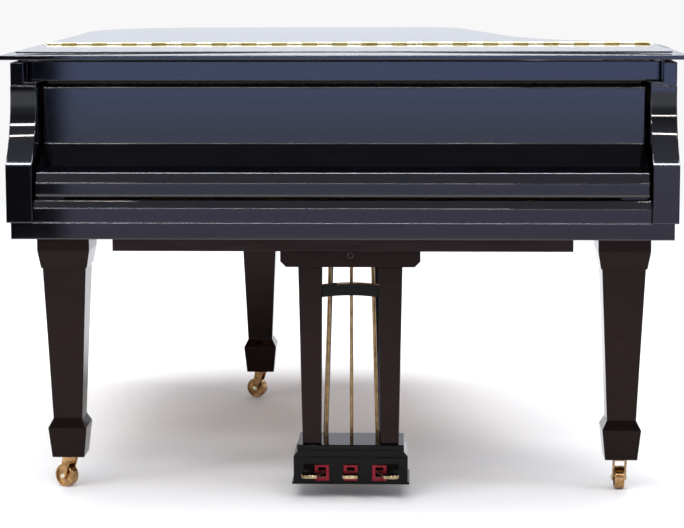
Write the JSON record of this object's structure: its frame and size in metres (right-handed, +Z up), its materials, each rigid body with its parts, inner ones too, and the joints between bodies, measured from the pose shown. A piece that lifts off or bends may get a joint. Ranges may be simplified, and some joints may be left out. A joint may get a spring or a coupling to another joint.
{
  "type": "grand piano",
  "caption": "Small black polished grand piano with folding lid, key cover, full keyboard and action, pedal lyre with rods, and tapered legs on brass casters.",
  "frame": {"origin": "on the floor under the middle of the outer box", "axes": "+X to the treble side, +Y to the tail, +Z up"},
  "size_m": [1.528, 1.57, 1.0165],
  "materials": {
    "black_polish": "high gloss polyester",
    "maple": "bare, sanded",
    "spruce": "satin varnish",
    "gold_iron": "gold lacquer",
    "plated_steel": "nickel plated",
    "string_wire": "drawn wire",
    "brass": "polished",
    "black_steel": "black enamel",
    "rubber": "matt",
    "red_felt": "wool felt",
    "white_key": "polished",
    "black_key": "satin",
    "hammer_felt": "pressed felt"
  },
  "bodies": {
    "case": {"rim": "black_polish", "inner_rim": "maple", "arm_left": "black_polish", "arm_right": "black_polish", "keybed": "black_polish", "keybed_beam": "black_polish", "keyslip": "black_polish", "key_blocks": "black_polish", "stretcher": "black_polish", "belly_rail": "maple", "back_posts": "spruce", "soundboard": "spruce", "ribs": "spruce", "bridges": "maple", "plate": "gold_iron", "pin_block": "maple", "tuning_pins": "plated_steel", "strings": "string_wire", "leg_left": "black_polish", "leg_right": "black_polish", "leg_rear": "black_polish", "leg_plates": "plated_steel", "caster_sockets": "plated_steel", "side_hinge_case": "brass", "lid_bumpers": "rubber", "lid_prop": "black_polish", "desk_rails": "maple", "lyre_head": "black_polish", "lyre_posts": "black_polish", "lyre_guide": "black_polish", "pedal_box": "black_polish", "pedal_felts": "red_felt", "lyre_braces": "black_steel"},
    "lid": {"lid_main": "black_polish", "lid_hinge_main": "brass", "side_hinge_lid": "brass"},
    "lid_flap": {"lid_front": "black_polish", "lid_hinge_front": "brass"},
    "key_cover": {"fallboard": "black_polish", "fallboard_pivots": "brass"},
    "desk": {"music_desk": "black_polish"},
    "action": {"key_frame": "maple", "action_rails": "maple"},
    "whites": {"white_keys": "white_key"},
    "blacks": {"black_keys": "black_key"},
    "white_hammers": {"hammers_white": "hammer_felt"},
    "black_hammers": {"hammers_black": "hammer_felt"},
    "damper_tray": {"dampers": "hammer_felt"},
    "pedal_left": {"pedal_left": "brass"},
    "rod_left": {"pedal_rod_left": "brass"},
    "pedal_middle": {"pedal_middle": "brass"},
    "rod_middle": {"pedal_rod_middle": "brass"},
    "pedal_right": {"pedal_right": "brass"},
    "rod_right": {"pedal_rod_right": "brass"},
    "caster_left": {"caster_fork_left": "brass"},
    "wheel_left": {"caster_wheel_left": "brass"},
    "caster_right": {"caster_fork_right": "brass"},
    "wheel_right": {"caster_wheel_right": "brass"},
    "caster_rear": {"caster_fork_rear": "brass"},
    "wheel_rear": {"caster_wheel_rear": "brass"}
  },
  "joints": [
    {"name": "lid_open", "type": "hinge", "parent": "case", "child": "lid", "pos_m": [-0.748, 0, 0.9878], "axis": [0, -1, 0], "range_deg": [0, 38]},
    {"name": "lid_flap_fold", "type": "hinge", "parent": "lid", "child": "lid_flap", "pos_m": [0, -0.343, 1.013], "axis": [-1, 0, 0], "range_deg": [0, 180]},
    {"name": "fallboard_open", "type": "hinge", "parent": "case", "child": "key_cover", "pos_m": [0, -0.62, 0.745], "axis": [-1, 0, 0], "range_deg": [0, 90]},
    {"name": "desk_slide", "type": "slide", "parent": "case", "child": "desk", "axis": [0, 1, 0], "range_m": [0, 0.06]},
    {"name": "action_shift", "type": "slide", "parent": "case", "child": "action", "axis": [1, 0, 0], "range_m": [0, 0.003]},
    {"name": "white_keys_press", "type": "hinge", "parent": "action", "child": "whites", "pos_m": [0, -0.53, 0.675], "axis": [1, 0, 0], "range_deg": [0, 2.5], "stiffness_Nm_per_rad": 20, "springref_deg": -6.88},
    {"name": "black_keys_press", "type": "hinge", "parent": "action", "child": "blacks", "pos_m": [0, -0.53, 0.675], "axis": [1, 0, 0], "range_deg": [0, 2.5], "stiffness_Nm_per_rad": 14, "springref_deg": -6.88},
    {"name": "white_hammers_strike", "type": "hinge", "parent": "action", "child": "white_hammers", "pos_m": [0, -0.387, 0.82], "axis": [1, 0, 0], "range_deg": [0, 22.5]},
    {"name": "black_hammers_strike", "type": "hinge", "parent": "action", "child": "black_hammers", "pos_m": [0, -0.387, 0.82], "axis": [1, 0, 0], "range_deg": [0, 22.5]},
    {"name": "dampers_lift", "type": "slide", "parent": "case", "child": "damper_tray", "axis": [0, 0, 1], "range_m": [0, 0.005]},
    {"name": "pedal_left_press", "type": "hinge", "parent": "case", "child": "pedal_left", "pos_m": [-0.047, -0.673, 0.0635], "axis": [1, 0, 0], "range_deg": [0, 8], "stiffness_Nm_per_rad": 6, "springref_deg": -14.32},
    {"name": "rod_left_lift", "type": "slide", "parent": "case", "child": "rod_left", "axis": [0.0249, 0, 0.9997], "range_m": [0, 0.006]},
    {"name": "pedal_middle_press", "type": "hinge", "parent": "case", "child": "pedal_middle", "pos_m": [0.018, -0.673, 0.0635], "axis": [1, 0, 0], "range_deg": [0, 8], "stiffness_Nm_per_rad": 6, "springref_deg": -14.32},
    {"name": "rod_middle_lift", "type": "slide", "parent": "case", "child": "rod_middle", "axis": [0, 0, 1], "range_m": [0, 0.006]},
    {"name": "pedal_right_press", "type": "hinge", "parent": "case", "child": "pedal_right", "pos_m": [0.083, -0.673, 0.0635], "axis": [1, 0, 0], "range_deg": [0, 8], "stiffness_Nm_per_rad": 6, "springref_deg": -14.32},
    {"name": "rod_right_lift", "type": "slide", "parent": "case", "child": "rod_right", "axis": [-0.0249, 0, 0.9997], "range_m": [0, 0.006]},
    {"name": "caster_left_swivel", "type": "hinge", "parent": "case", "child": "caster_left", "pos_m": [-0.633, -0.626, 0.075], "axis": [0, 0, 1], "continuous": true},
    {"name": "wheel_left_roll", "type": "hinge", "parent": "caster_left", "child": "wheel_left", "pos_m": [-0.64426, -0.6195, 0.0265], "axis": [0.5, 0.866, 0], "continuous": true},
    {"name": "caster_right_swivel", "type": "hinge", "parent": "case", "child": "caster_right", "pos_m": [0.633, -0.626, 0.075], "axis": [0, 0, 1], "continuous": true},
    {"name": "wheel_right_roll", "type": "hinge", "parent": "caster_right", "child": "wheel_right", "pos_m": [0.633, -0.613, 0.0265], "axis": [1, 0, 0], "continuous": true},
    {"name": "caster_rear_swivel", "type": "hinge", "parent": "case", "child": "caster_rear", "pos_m": [-0.262, 0.365, 0.075], "axis": [0, 0, 1], "continuous": true},
    {"name": "wheel_rear_roll", "type": "hinge", "parent": "caster_rear", "child": "wheel_rear", "pos_m": [-0.27422, 0.36945, 0.0265], "axis": [0.342, 0.9397, 0], "continuous": true}
  ],
  "couplings": [
    {"joint": "white_hammers_strike", "follows": "white_keys_press", "ratio": 9},
    {"joint": "black_hammers_strike", "follows": "black_keys_press", "ratio": 9},
    {"joint": "dampers_lift", "follows": "pedal_right_press", "m_per_rad": 0.03581},
    {"joint": "action_shift", "follows": "pedal_left_press", "m_per_rad": 0.021486},
    {"joint": "rod_left_lift", "follows": "pedal_left_press", "m_per_rad": 0.042256},
    {"joint": "rod_middle_lift", "follows": "pedal_middle_press", "m_per_rad": 0.042256},
    {"joint": "rod_right_lift", "follows": "pedal_right_press", "m_per_rad": 0.042256}
  ]
}
